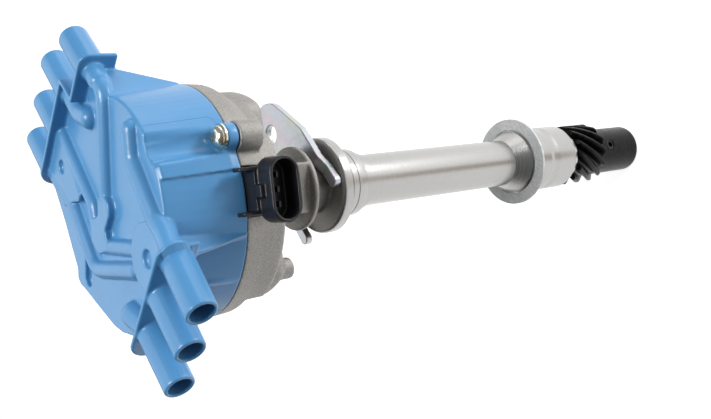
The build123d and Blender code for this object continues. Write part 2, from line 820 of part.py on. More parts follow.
def make_terminal(x_tip, y):
    """Cupped terminal at the bottom of a tower's socket."""
    inner = x_tip - math.copysign(tower_bore_depth, x_tip)
    outer = inner + math.copysign(terminal_length, x_tip)
    cup = along_x(inner, outer, y, tower_z, terminal_r, terminal_r)
    base_end = inner + math.copysign(terminal_base_t, x_tip)
    base_r = terminal_seat_r - press_gap
    base = along_x(inner, base_end, y, tower_z, base_r, base_r)
    floor = base_end + math.copysign(terminal_wall, x_tip)
    cup_r = terminal_r - terminal_wall
    return cup + base - along_x(floor, outer, y, tower_z, cup_r, cup_r)


def make_brush():
    """Carbon button that feeds the rotor's blade."""
    low = rotor_top_z + blade_t + rest_gap
    return fillet(upright(brush_r, low, low + brush_length).faces().sort_by(Axis.Z)[0].edges(), 0.8)


def make_brush_spring():
    """Coil spring above the carbon button."""
    low = rotor_top_z + blade_t + rest_gap + brush_length + spring_wire_r + 0.05
    high = cap_top_z + 0.6 - spring_wire_r - 0.05
    path = Helix(pitch=(high - low) / spring_turns, height=high - low, radius=spring_r)
    wire = sweep(Plane(origin=path @ 0, z_dir=path % 0) * Circle(spring_wire_r), path=path)
    return Pos(0, 0, low) * wire


def make_rotor():
    """Moulded rotor: base plate, mast and the arm under the blade."""
    tip = contact_ring_r - contact_r - blade_gap
    body = upright(rotor_r, rotor_plate_z + wheel_t, rotor_plate_z + wheel_t + rotor_plate_t)
    body += turned((0, rotor_plate_z + wheel_t), (rotor_mast_r + 4, rotor_plate_z + wheel_t),
                   (rotor_mast_r, rotor_top_z - 6), (rotor_mast_r, rotor_top_z), (0, rotor_top_z))
    body += Pos(0, 0, rotor_top_z - 5) * Box(tip - 2, blade_w + 4, 5, align=(Align.MIN, Align.CENTER, Align.MIN))
    body += Pos(0, 0, rotor_plate_z + wheel_t) * Box(tip - 3, 3, rotor_top_z - rotor_plate_z - 5, align=(
        Align.MIN, Align.CENTER, Align.MIN))
    for side in (-1, 1):
        x = 0
        y = side * rotor_screw_x
        body -= upright(rotor_screw_r + press_gap, rotor_plate_z, rotor_plate_z + 20, x, y)
        body -= upright(rotor_screw_head_r + 0.4, rotor_plate_z + wheel_t + rotor_plate_t, rotor_plate_z + 30, x, y)
    body -= upright(shaft_r + 0.3, rotor_plate_z + wheel_t, shaft_top_z + 0.4)
    return body


def make_blade():
    """Brass blade that carries the spark from the centre to the contacts."""
    tip = contact_ring_r - contact_r - blade_gap
    blade = Pos(0, 0, rotor_top_z) * Box(tip, blade_w, blade_t, align=(Align.MIN, Align.CENTER, Align.MIN))
    blade += upright(blade_w / 2, rotor_top_z, rotor_top_z + blade_t)
    return blade & upright(tip, rotor_top_z, rotor_top_z + blade_t)


def make_rotor_screws():
    """Two screws that hold the rotor to the shutter wheel."""
    plate_top = rotor_plate_z + wheel_t + rotor_plate_t
    screws = Part()
    for side in (-1, 1):
        y = side * rotor_screw_x
        screws += upright(rotor_screw_r, rotor_plate_z, plate_top, 0, y)
        screws += upright(rotor_screw_head_r, plate_top, plate_top + rotor_screw_head_t, 0, y)
    return screws


def make_shutter_wheel():
    """Steel shutter wheel with a half-round skirt that passes through the sensor."""
    hub_low = bowl_floor_z + floor_t + wheel_t + rest_gap
    body = upright(wheel_hub_r, hub_low, rotor_plate_z + wheel_t)
    body += upright(wheel_r, rotor_plate_z, rotor_plate_z + wheel_t)
    skirt = upright(wheel_r, rotor_plate_z - wheel_skirt_h, rotor_plate_z + wheel_t)
    skirt -= upright(wheel_r - wheel_skirt_t, rotor_plate_z - wheel_skirt_h, rotor_plate_z + wheel_t)
    half = Pos(0, 0, rotor_plate_z) * Box(2 * wheel_r, 4 * wheel_r, 40, align=(Align.MIN, Align.CENTER, Align.CENTER))
    body += skirt & half
    body -= upright(shaft_r + press_gap, hub_low, rotor_plate_z + wheel_t)
    for side in (-1, 1):
        body -= upright(rotor_screw_r + press_gap, rotor_plate_z, rotor_plate_z + wheel_t, 0, side * rotor_screw_x)
    return body


def make_sensor():
    """Sensor base in the bowl, its two posts round the skirt, and the three-way connector."""
    floor_top = bowl_floor_z + floor_t
    place = radial_plane(connector_azimuth)
    half = (-sensor_half_w, sensor_half_w)
    gap_in = wheel_r - wheel_skirt_t - hall_gap
    gap_out = wheel_r + hall_gap
    body = radial_box(connector_azimuth, half, (floor_top, floor_top + sensor_h), (sensor_inner, gap_out + 2.4))
    post_top = rotor_plate_z - rest_gap
    body += radial_box(connector_azimuth, (-5, 5), (floor_top, post_top), (gap_in - 4, gap_in))
    stub = (stub_offset - stub_half_w, stub_offset + stub_half_w)
    stub_top = joint_z - stub_gap
    body += radial_box(connector_azimuth, stub, (floor_top, stub_bottom_z + 1), (gap_out, cavity_low_r - 1.0))
    body += radial_box(connector_azimuth, stub, (stub_bottom_z, stub_top), (gap_out + 0.4, socket_base))
    for low, high in ((stub[0] - rail_t, stub[0]), (stub[1], stub[1] + rail_t)):
        body += radial_box(connector_azimuth, (low, high), (stub_bottom_z, stub_top), (rail_base - 4, socket_base))
        body += radial_box(connector_azimuth, (low, high), (stub_top, rail_top_z), (rail_base, socket_base))
    outer = Pos(socket_offset, socket_z) * SlotOverall(socket_w, socket_h)
    inner = Pos(socket_offset, socket_z) * SlotOverall(socket_w - 2 * socket_wall, socket_h - 2 * socket_wall)
    shell = extrude(Pos(0, 0, socket_base - 1.5) * outer, socket_mouth - socket_base + 1.5)
    shell -= extrude(Pos(0, 0, socket_base) * inner, socket_mouth)
    body += place * shell
    ramp_low = socket_z + socket_h / 2 - 0.4
    body += radial_box(connector_azimuth, (socket_offset - 2.2, socket_offset + 2.2), (ramp_low, ramp_low + 2.4),
                       (socket_base, socket_base + 4.2))
    for side in (-1, 1):
        hole = place * Pos(side * sensor_screw_t, floor_top, sensor_screw_rho) * Rot(-90, 0, 0)
        body -= hole * Cylinder(screw_r + press_gap, sensor_h, align=base_up)
    for index in (-1, 0, 1):
        t = socket_offset + index * pin_pitch
        body -= radial_box(connector_azimuth, (t - pin_w / 2 - press_gap, t + pin_w / 2 + press_gap),
                           (socket_z - pin_t / 2 - press_gap, socket_z + pin_t / 2 + press_gap),
                           (socket_base - 4, socket_base))
    return body


def make_pins():
    """Three flat pins inside the connector."""
    pins = Part()
    for index in (-1, 0, 1):
        t = socket_offset + index * pin_pitch
        pins += radial_box(connector_azimuth, (t - pin_w / 2, t + pin_w / 2),
                           (socket_z - pin_t / 2, socket_z + pin_t / 2), (socket_base - 4, socket_base + pin_reach))
    return pins


def make_sensor_screws():
    """Two screws that hold the sensor to the bowl's floor."""
    floor_top = bowl_floor_z + floor_t
    screws = Part()
    for side in (-1, 1):
        place = radial_plane(connector_azimuth) * Pos(side * sensor_screw_t, 0, sensor_screw_rho) * Rot(-90, 0, 0)
        head_z = floor_top + sensor_h
        screws += place * Pos(0, 0, floor_top - 3) * Cylinder(screw_r, sensor_h + 3, align=base_up)
        screws += place * Pos(0, 0, head_z) * Cylinder(3.2, 1.6, align=base_up)
    return screws


def make_magnet():
    """Magnet block outside the skirt, facing the sensor's inner post."""
    floor_top = bowl_floor_z + floor_t + sensor_h
    gap_out = wheel_r + hall_gap
    return radial_box(connector_azimuth, (-11.5, -5.2), (floor_top, rotor_plate_z - 1), (gap_out, gap_out + 2.2))


def make_cap_fasteners():
    """Screws and washers at both ears."""
    seat = joint_z + ear_t
    head_low = seat + washer_t
    screws = Part()
    washers = Part()
    for azimuth in ear_azimuths:
        x, y = polar(ear_radius, azimuth)
        head = upright(screw_head_r, head_low, head_low + screw_head_t, x, y)
        head = fillet(head.faces().sort_by(Axis.Z)[-1].edges(), 1.2)
        head -= Pos(x, y, head_low + screw_head_t) * Box(5.0, 1.0, 2.4)
        head -= Pos(x, y, head_low + screw_head_t) * Box(1.0, 5.0, 2.4)
        screws += head + upright(screw_r, joint_z - screw_reach, head_low, x, y)
        washers += upright(washer_r, seat, head_low, x, y) - upright(screw_r + 0.1, seat, head_low, x, y)
    return screws, washers


def make_vent_screens():
    """Two fine screens in the bowl's floor."""
    floor_top = bowl_floor_z + floor_t
    screens = Part()
    for azimuth in vent_azimuths:
        x, y = polar(vent_radius, azimuth)
        screens += upright(vent_r - press_gap, floor_top - 2, floor_top - 1, x, y)
    return screens


os.makedirs("parts", exist_ok=True)
thrust_low, wave_low, shim_low = washer_levels()
cap_screws, cap_washers = make_cap_fasteners()
plug_towers = [(plus_tower_tip, y) for y in plus_towers_y] + [(minus_tower_tip, y) for y in minus_towers_y]
plug_terminals = Part()
for tip, y in plug_towers:
    plug_terminals += make_terminal(tip, y)

save("housing", make_housing())
save("upper_bushing", make_bushing(upper_bushing_z, upper_bushing_h))
save("lower_bushing", make_bushing(-pilot_end_depth + lower_bushing_inset, lower_bushing_h))
save("oil_seal", make_oil_seal())
save("floor_thrust_washer", make_floor_washer())
save("vent_screens", make_vent_screens())
save("main_shaft", make_shaft())
save("shutter_wheel", make_shutter_wheel())
save("rotor_body", make_rotor())
save("rotor_blade", make_blade())
save("rotor_screws", make_rotor_screws())
save("gear_thrust_washer", washer(thrust_washer_r, thrust_low, thrust_washer_t))
save("wave_washer", make_wave_washer(wave_low))
save("gear_shim", washer(thrust_washer_r, shim_low, thrust_washer_t))
save("drive_gear", make_gear())
save("gear_roll_pin", make_roll_pin())
save("base_gasket", make_gasket())
save("hold_down_clamp", make_clamp())
save("distributor_cap", make_cap())
save("coil_terminal", make_terminal(coil_tower_tip, coil_tower_y))
save("plug_terminals", plug_terminals)
save("contact_posts", make_contacts())
save("carbon_brush", make_brush())
save("brush_spring", make_brush_spring())
save("cap_screws", cap_screws)
save("cap_washers", cap_washers)
save("sensor_body", make_sensor())
save("sensor_magnet", make_magnet())
save("sensor_screws", make_sensor_screws())
save("connector_pins", make_pins())
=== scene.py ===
# %% [markdown]
# This lesson dresses an engine ignition distributor: a blue moulded cap with seven towers, a cast housing
# with a long turned stem, a connector, a fork clamp, a gasket and a helical gear. The solids come from the
# CAD model, so Blender adds finishes, soft moulded edges, small fittings, light and a camera.

# %% Load the frame
import math

import bmesh
import bpy
import numpy as np
from mathutils import Matrix, Vector


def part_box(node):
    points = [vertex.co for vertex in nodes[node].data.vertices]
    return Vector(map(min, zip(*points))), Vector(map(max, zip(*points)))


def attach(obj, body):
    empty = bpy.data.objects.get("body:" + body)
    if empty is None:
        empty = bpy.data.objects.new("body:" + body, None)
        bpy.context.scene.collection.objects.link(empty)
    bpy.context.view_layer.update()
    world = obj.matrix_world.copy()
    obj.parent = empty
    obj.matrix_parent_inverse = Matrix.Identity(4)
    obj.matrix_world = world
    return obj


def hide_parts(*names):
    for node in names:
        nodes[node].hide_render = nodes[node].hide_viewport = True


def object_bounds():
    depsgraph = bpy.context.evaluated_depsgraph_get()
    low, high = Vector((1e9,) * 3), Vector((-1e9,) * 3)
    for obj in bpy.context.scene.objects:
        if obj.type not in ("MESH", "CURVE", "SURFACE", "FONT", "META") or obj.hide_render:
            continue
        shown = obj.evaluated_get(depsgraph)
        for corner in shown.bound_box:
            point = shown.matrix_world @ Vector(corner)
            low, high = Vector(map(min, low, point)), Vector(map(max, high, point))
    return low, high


MM = 0.001
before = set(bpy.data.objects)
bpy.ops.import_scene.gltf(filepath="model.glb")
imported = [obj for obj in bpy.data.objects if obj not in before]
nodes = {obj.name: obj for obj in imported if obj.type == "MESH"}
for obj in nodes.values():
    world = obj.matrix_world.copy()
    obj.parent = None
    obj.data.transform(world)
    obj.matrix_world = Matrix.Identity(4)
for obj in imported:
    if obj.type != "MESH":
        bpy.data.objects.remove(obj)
cad_low, cad_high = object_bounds()
scene = bpy.context.scene
print("nodes:", len(nodes), "box in mm:", [round(v / MM) for v in cad_high - cad_low])

# %% [markdown]
# A product photograph is taken from one place with one lens. The place and the turn of this camera were
# worked out from the round rims and straight stem in the picture, so the same view falls on the model.
# The two axes below are the picture's right and down directions in the model's own axes.

# %% Camera
CAMERA_PLACE = Vector((-218.8, -231.84, 230.32)) * MM
PICTURE_RIGHT = Vector((-0.50718, -0.35726, -0.78431))
PICTURE_DOWN = Vector((-0.68645, 0.71771, 0.11698))
FOCAL_PIXELS = 901.55
PICTURE_WIDTH = 711
FILM_WIDTH = 36.0

camera_data = bpy.data.cameras.new("studio_camera")
camera_data.sensor_width = FILM_WIDTH
camera_data.lens = FOCAL_PIXELS / PICTURE_WIDTH * FILM_WIDTH
camera_data.clip_start = 0.01
camera = bpy.data.objects.new("studio_camera", camera_data)
away = PICTURE_DOWN.cross(PICTURE_RIGHT)
turn = Matrix((PICTURE_RIGHT, -PICTURE_DOWN, away)).transposed()
camera.matrix_world = Matrix.Translation(CAMERA_PLACE) @ turn.to_4x4()
scene.collection.objects.link(camera)
scene.camera = camera
print("lens mm:", round(camera_data.lens, 2))

# %% [markdown]
# The picture is a bright catalogue shot on white. A wide lamp beside the row of four towers lights the
# walls that face it, and two lamps above the cap light its plate. Two small low lamps in one place light the
# cap's wall and throw the connector's shadow along it. Only the weaker of the two is mirrored, so the wall
# can be bright while the stem has no glare.

# %% Lamps
CONNECTOR_PLACE = Vector((-0.012, -0.040, 0.045))
LOW_PLACE = (0.0, -0.33, -0.155)
LOW_SIZE = (0.12, 0.09)


def softbox(name, place, size, watts, tint=(1, 1, 1), aim=Vector((0, 0, 0.03))):
    """Square area lamp that looks at the object from a place in metres."""
    data = bpy.data.lights.new(name, "AREA")
    data.shape = "RECTANGLE"
    data.size, data.size_y = size
    data.energy = watts
    data.color = tint
    lamp = bpy.data.objects.new(name, data)
    lamp.location = place
    lamp.rotation_euler = (Vector(place) - aim).to_track_quat("Z", "Y").to_euler()
    lamp.visible_camera = False
    scene.collection.objects.link(lamp)
    return lamp


softbox("side_lamp", (0.50, -0.62, -0.04), (0.60, 0.26), 0.8)
softbox("plate_lamp", (0.55, 0.50, 0.85), (1.6, 1.6), 8.0, (1.0, 0.99, 0.97))
softbox("front_lamp", (0.0, -0.30, 1.05), (0.4, 0.4), 9.4)
softbox("low_lamp", LOW_PLACE, LOW_SIZE, 0.4, aim=CONNECTOR_PLACE)
wall_lamp = softbox("wall_lamp", LOW_PLACE, LOW_SIZE, 0.8, aim=CONNECTOR_PLACE)
wall_lamp.visible_glossy = False

# %% [markdown]
# Besides the lamps, a room sends a little light from everywhere. Here it is a surround without a picture,
# whose strength rises from dim to bright along one direction. It is bright on the lamps' side and dim on
# the other, so the far sides of the towers go deep blue as they do in the picture.

# %% Surround
DIM_LEVEL = 0.04
BRIGHT_LEVEL = 0.33
BRIGHT_SIDE = Vector((0.69, -0.72, 0.25)).normalized()
world = bpy.data.worlds.new("studio_surround")
world.use_nodes = True
surround = world.node_tree.nodes["Background"]
heading = world.node_tree.nodes.new("ShaderNodeTexCoord")
side = world.node_tree.nodes.new("ShaderNodeVectorMath")
side.operation = "DOT_PRODUCT"
side.inputs[1].default_value = BRIGHT_SIDE
level = world.node_tree.nodes.new("ShaderNodeMapRange")
level.inputs["From Min"].default_value = -1.0
level.inputs["To Min"].default_value = DIM_LEVEL
level.inputs["To Max"].default_value = BRIGHT_LEVEL
world.node_tree.links.new(heading.outputs["Generated"], side.inputs[0])
world.node_tree.links.new(side.outputs["Value"], level.inputs["Value"])
world.node_tree.links.new(level.outputs["Result"], surround.inputs["Strength"])
surround.inputs["Color"].default_value = (0.95, 0.97, 1.0, 1)
scene.world = world
scene.view_settings.view_transform = "Standard"
scene.view_settings.look = "None"
print("surround from", DIM_LEVEL, "to", BRIGHT_LEVEL)

# %% [markdown]
# A modifier leaves a piece's own mesh untouched until its result is taken, so one helper puts that result
# into the piece. Another reads all points of a mesh at once as rows of numbers, because moving a million
# points one by one would take minutes.

# %% Helpers for meshes
def settled(piece):
    """Puts the result of a piece's modifiers into its own mesh."""
    ready = bpy.data.meshes.new_from_object(piece.evaluated_get(bpy.context.evaluated_depsgraph_get()))
    piece.modifiers.clear()
    piece.data = ready
    return ready


def points_of(mesh):
    """All points of a mesh as rows of numbers."""
    flat = np.empty(len(mesh.vertices) * 3, dtype=np.float32)
    mesh.vertices.foreach_get("co", flat)
    return flat.reshape(-1, 3)


# %% [markdown]
# A moulding or a casting has no sharp edge anywhere: the plastic or metal leaves the mould with small round
# corners and filled inner corners. They could be bevelled one by one, but on a solid with hundreds of edges
# a bevel fails somewhere. So a copy of the solid is covered with an even fine mesh, and the mesh is
# smoothed, which rounds every edge alike. Points that were hardly moved are put back on the exact solid, so
# that broad faces stay true. Hardly means by less than a small share of the fine mesh's own step, and the
# limit is a gradual one, so no seam shows.

# %% Helper for soft edges
MOVED_TOO_FAR = 0.30
MOVED_FADE = 0.22
LAST_ROUNDS = 3


def soft_copy(node, name, voxel, rounds, melt=None):
    """Copy of a CAD solid with round edges. melt tells which points are smoothed further, and how often."""
    source = nodes[node]
    piece = bpy.data.objects.new(name, source.data.copy())
    scene.collection.objects.link(piece)
    even = piece.modifiers.new("even_mesh", "REMESH")
    even.mode = "VOXEL"
    even.voxel_size = voxel
    even.use_smooth_shade = True
    soften = piece.modifiers.new("soften", "SMOOTH")
    soften.iterations = rounds
    settled(piece)
    wrap = piece.modifiers.new("wrap", "SHRINKWRAP")
    wrap.target = source
    wrapped = bpy.data.meshes.new_from_object(piece.evaluated_get(bpy.context.evaluated_depsgraph_get()))
    piece.modifiers.clear()
    points = points_of(piece.data)
    exact = points_of(wrapped)
    moved = np.linalg.norm(exact - points, axis=1) / voxel
    trust = np.clip((MOVED_TOO_FAR - moved) / MOVED_FADE, 0, 1)[:, None]
    points += (exact - points) * trust
    piece.data.vertices.foreach_set("co", points.ravel())
    bpy.data.meshes.remove(wrapped)
    even_out = piece.modifiers.new("even_out", "SMOOTH")
    even_out.iterations = LAST_ROUNDS
    settled(piece)
    if melt:
        for level, (strength, passes) in enumerate(melt["steps"]):
            group = piece.vertex_groups.new(name=f"melt_{level}")
            group.add(np.nonzero(melt["where"](points) > strength)[0].tolist(), 1.0, "REPLACE")
            more = piece.modifiers.new("melt", "SMOOTH")
            more.vertex_group = group.name
            more.iterations = passes
        settled(piece)
        piece.vertex_groups.clear()
    polygons = piece.data.polygons
    polygons.foreach_set("use_smooth", np.ones(len(polygons), dtype=bool))
    print(name, "points:", len(piece.data.vertices))
    return piece


# %% [markdown]
# A dressed piece stands for one solid of the CAD model. It rides on the same body, so a joint carries it
# along, and it gets its finish as its material, while the CAD node it stands for is hidden.

# %% Standing for a solid
def stand_for(piece, node, body, material):
    """Lets a piece take the place of a CAD node, on its body and with its finish."""
    piece.data.materials.clear()
    piece.data.materials.append(material)
    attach(piece, body)
    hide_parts(node)


# %% [markdown]
# Every finish below is a small network of nodes. The first helper makes a material and returns it with its
# shader, and the second adds a node and joins its inputs, so each recipe reads in a few lines.

# %% Helpers for finishes
def finish_for(name, colour, roughness, metallic=0.0, coat=0.0, specular=0.5):
    """New material with its main shader set to plain starting values."""
    material = bpy.data.materials.new(name)
    material.use_nodes = True
    shader = material.node_tree.nodes["Principled BSDF"]
    shader.inputs["Base Color"].default_value = (*colour, 1)
    shader.inputs["Roughness"].default_value = roughness
    shader.inputs["Metallic"].default_value = metallic
    shader.inputs["Coat Weight"].default_value = coat
    shader.inputs["Coat Roughness"].default_value = 0.05
    shader.inputs["Specular IOR Level"].default_value = specular
    return material, shader


def add_node(material, kind, settings=None, **inputs):
    """Adds a node, sets its properties and fills or joins its inputs by name."""
    node = material.node_tree.nodes.new(kind)
    for key, value in (settings or {}).items():
        setattr(node, key, value)
    for key, value in inputs.items():
        socket = node.inputs[int(key[1:])] if key[0] == "_" else node.inputs[key.replace("_", " ")]
        if isinstance(value, bpy.types.NodeSocket):
            material.node_tree.links.new(value, socket)
        else:
            socket.default_value = value
    return node


def join(material, source, socket):
    """Joins two sockets of a material."""
    material.node_tree.links.new(source, socket)


# %% [markdown]
# No real surface is one even colour. Each finish here starts from noise, laid out in metres on the piece
# itself, so it has no seams and needs no picture. The noise is spread to the range that is wanted and then
# mixes two colours, sets the roughness or lifts the surface in small bumps.

# %% Helpers for patterns
def place_in(material, stretch=(1, 1, 1)):
    """Coordinates of the object itself, in metres, stretched along each axis."""
    place = add_node(material, "ShaderNodeTexCoord")
    mapping = add_node(material, "ShaderNodeMapping", Vector=place.outputs["Object"], Scale=stretch)
    return mapping.outputs["Vector"]


def noise_in(material, scale, stretch=(1, 1, 1), detail=3.0, rough=0.5):
    """Cloudy pattern from 0 to 1."""
    return add_node(material, "ShaderNodeTexNoise", Vector=place_in(material, stretch), Scale=scale,
                    Detail=detail, Roughness=rough).outputs["Fac"]


def spread(material, source, low, high, from_low=0.3, from_high=0.7):
    """Carries a pattern from one range of values to another."""
    return add_node(material, "ShaderNodeMapRange", Value=source, From_Min=from_low, From_Max=from_high,
                    To_Min=low, To_Max=high).outputs["Result"]


def blend_colours(material, factor, first, second):
    """Mixes two colours by a pattern."""
    mix = add_node(material, "ShaderNodeMix", {"data_type": "RGBA"}, _0=factor, _6=first, _7=second)
    return mix.outputs[2]


def relief(material, height, strength, distance):
    """Small bumps from a pattern."""
    bump = add_node(material, "ShaderNodeBump", Height=height, Strength=strength, Distance=distance)
    return bump.outputs["Normal"]


# %% [markdown]
# Inner pieces and small fittings keep their exact solids and only get a finish.

# %% Dressing a solid
def dress(names, material):
    """Gives a finish to CAD nodes."""
    for name in names:
        for slot in nodes[name].material_slots:
            slot.material = material
        if not nodes[name].material_slots:
            nodes[name].data.materials.append(material)


# %% [markdown]
# The cap is injection moulded in a glossy sky-blue plastic. Real mouldings are never one flat colour:
# the skin has a faint cloudiness and a little orange peel, so the highlights waver. Both come from two
# noises, a broad one for the tint and a fine one for the relief and the roughness.

# %% Blue moulded plastic
def blue_plastic():
    """Glossy sky-blue moulding with a wavering skin."""
    material, shader = finish_for("cap_blue_plastic", (0.060, 0.235, 0.50), 0.34, coat=0.12)
    broad = noise_in(material, 38.0, detail=2.0)
    tint = blend_colours(material, spread(material, broad, 0, 1), (0.062, 0.228, 0.455, 1),
                         (0.074, 0.252, 0.495, 1))
    join(material, tint, shader.inputs["Base Color"])
    fine = noise_in(material, 900.0, detail=2.0)
    join(material, spread(material, fine, 0.30, 0.37), shader.inputs["Roughness"])
    peel = noise_in(material, 260.0, detail=1.0)
    join(material, relief(material, peel, 0.035, 0.0005), shader.inputs["Normal"])
    return material


BLUE = blue_plastic()
print("finish:", BLUE.name)

# %% [markdown]
# The cap gets soft edges like the other mouldings. Where the channel for the screw meets the wall, the
# mould has a much larger rounding, so the points near that channel are smoothed further in three steps.

# %% Soft cap
CHANNEL_ANGLE = math.radians(-106.8)
CHANNEL_PLACE = 47.0 * MM * np.array([math.cos(CHANNEL_ANGLE), math.sin(CHANNEL_ANGLE)])
CHANNEL_REACH = 12.0 * MM
CHANNEL_LOW = 64.5 * MM
CHANNEL_HIGH = 94.5 * MM
CHANNEL_FADE = 3.0 * MM


def near_channel(points):
    """1 at the screw channel beside the connector, falling to 0 a little way off."""
    away = np.linalg.norm(points[:, :2] - CHANNEL_PLACE, axis=1)
    low = np.clip((points[:, 2] - CHANNEL_LOW) / CHANNEL_FADE, 0, 1)
    high = np.clip((CHANNEL_HIGH - points[:, 2]) / CHANNEL_FADE, 0, 1)
    return np.clip(1.6 * (1 - away / CHANNEL_REACH), 0, 1) * low * high


cap = soft_copy("distributor_cap", "cap_moulding", 0.42 * MM, 5,
                {"where": near_channel, "steps": [(0.1, 8), (0.4, 12), (0.8, 20)]})
stand_for(cap, "distributor_cap", "distributor", BLUE)

# %% [markdown]
# The wall of the cap leans inwards towards the plate, but the screw channel beside the connector keeps its
# depth all the way up. So the points round it are pushed inwards, more and more towards the plate.

# %% Channel of even depth
CHANNEL_TOP_PUSH = 2.1 * MM
PUSH_HALF_WIDTH = (7.2 * MM, 3.6 * MM)
PUSH_HEIGHT = (73 * MM, 97 * MM)
PUSH_RADIUS = (38.0 * MM, 41.0 * MM)


def ramp(values, start, end):
    """Goes from 0 at the start to 1 at the end, with soft ends."""
    t = np.clip((values - start) / (end - start), 0, 1)
    return t * t * (3 - 2 * t)


def deepen_channel(mesh):
    """Pushes the wall round the near screw channel inwards."""
    points = points_of(mesh)
    radius = np.linalg.norm(points[:, :2], axis=1)
    across = points[:, :2] @ np.array([-math.sin(CHANNEL_ANGLE), math.cos(CHANNEL_ANGLE)])
    inward = points[:, :2] @ np.array([math.cos(CHANNEL_ANGLE), math.sin(CHANNEL_ANGLE)])
    push = ramp(np.abs(across), *PUSH_HALF_WIDTH) * ramp(points[:, 2], *PUSH_HEIGHT)
    push *= ramp(radius, *PUSH_RADIUS) * (inward > 0) * CHANNEL_TOP_PUSH
    points[:, :2] -= points[:, :2] / np.maximum(radius, MM)[:, None] * push[:, None]
    mesh.vertices.foreach_set("co", points.ravel())
    mesh.update()
    print("channel pushed by up to mm:", round(float(push.max()) / MM, 2))


deepen_channel(cap.data)

# %% [markdown]
# The row of three towers isn't quite square to the cap in the picture: it rises a little towards the
# connector, and the towers lean together at their mouths. The root of the first tower is moved aside and
# down, so the shield's edge stands proud of it like a collar. The further out along its tower a point lies,
# the more it leans. The same lean is given to the cap and to the plug contacts inside it.

# %% Lean of the three towers
SHIELD_FACE = -46.1 * MM
TOWER_REACH = 24.0 * MM
ROW_RISE = 0.045
ROW_START = (34 * MM, 44.5 * MM)
ROW_HEIGHT = (84 * MM, 92 * MM)
ROOT_SHIFT = (0.0, 3.0, -1.6)
ROOT_START = (46.14 * MM, 46.4 * MM)
ROW_END_Y = -60 * MM
MOUTH_SHIFTS = [(-14.5 * MM, (0.6, 2.0, 0.6)), (5.3 * MM, (0.0, 1.0, 0.5)), (60 * MM, (-0.7, 0.0, 0.6))]


def lean_towers(mesh):
    """Moves the side of three towers by its small lean."""
    points = points_of(mesh)
    root = ramp(-points[:, 0], *ROW_START)
    lift = root * ramp(points[:, 2], *ROW_HEIGHT) * -points[:, 1] * ROW_RISE
    out = np.clip((SHIELD_FACE - points[:, 0]) / TOWER_REACH, 0, 1.3)
    low_y = ROW_END_Y
    for high_y, shift in MOUTH_SHIFTS:
        inside = (points[:, 1] >= low_y) & (points[:, 1] < high_y)
        points += (inside * out)[:, None] * np.array(shift) * MM
        low_y = high_y
    first = points[:, 1] < MOUTH_SHIFTS[0][0]
    drop = ramp(-points[:, 0], *ROOT_START) * np.clip(1 - out, 0, 1) * first
    points += drop[:, None] * np.array(ROOT_SHIFT) * MM
    points[:, 2] += lift
    mesh.vertices.foreach_set("co", points.ravel())
    mesh.update()


lean_towers(cap.data)
contacts = bpy.data.objects.new("plug_contacts", nodes["plug_terminals"].data.copy())
scene.collection.objects.link(contacts)
lean_towers(contacts.data)
print("leaned:", [cap.name, contacts.name])

# %% [markdown]
# A fine raised line runs down the wall above the screw channel and turns round to the screw's boss: there
# two parts of the mould met. It is a thin tube laid on the wall, whose points are found by looking at the
# wall from outside.

# %% Mould line
LINE_THICK = 0.20 * MM
LINE_TURN = math.radians(-93.0)
LINE_TOP = 96.6
LINE_BEND = 72.6
BEND_DROP = 2.0
BEND_TURN = math.radians(5.0)
OUTSIDE = 90 * MM
SUNK = 0.08 * MM


def mould_line():
    """Thin raised line on the cap's wall."""
    path = []
    for z in np.linspace(LINE_TOP, LINE_BEND, 25):
        path.append((LINE_TURN, z * MM))
    for bend in np.linspace(0.1, 1.0, 8):
        quarter = bend * math.pi / 2
        path.append((LINE_TURN - BEND_TURN * (1 - math.cos(quarter)) - 0.02 * bend,
                     (LINE_BEND - BEND_DROP * math.sin(quarter)) * MM))
    curve = bpy.data.curves.new("mould_line", "CURVE")
    curve.dimensions = "3D"
    curve.bevel_depth = LINE_THICK
    curve.bevel_resolution = 2
    spline = curve.splines.new("POLY")
    found = []
    for turn, z in path:
        heading = Vector((math.cos(turn), math.sin(turn), 0))
        hit, place, _, _ = cap.ray_cast(heading * OUTSIDE + Vector((0, 0, z)), -heading)
        if hit:
            found.append(place - heading * SUNK)
    spline.points.add(len(found) - 1)
    for point, place in zip(spline.points, found):
        point.co = (*place, 1)
    line = bpy.data.objects.new("mould_line", curve)
    scene.collection.objects.link(line)
    curve.materials.append(BLUE)
    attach(line, "distributor")
    print("mould line points:", len(found))


mould_line()

# %% [markdown]
# The housing is one aluminium die casting. Above the flange it is bead blasted, warm grey and grainy. The
# flange's rim, the stem and the pilot are turned on a lathe, which leaves bright fine rings round the
# axis. One material does both: a ramp by height picks the cast or the turned recipe.

# %% Cast and turned aluminium
MACHINED_TOP = 5.0 * MM
CAST_LOW = 5.4 * MM


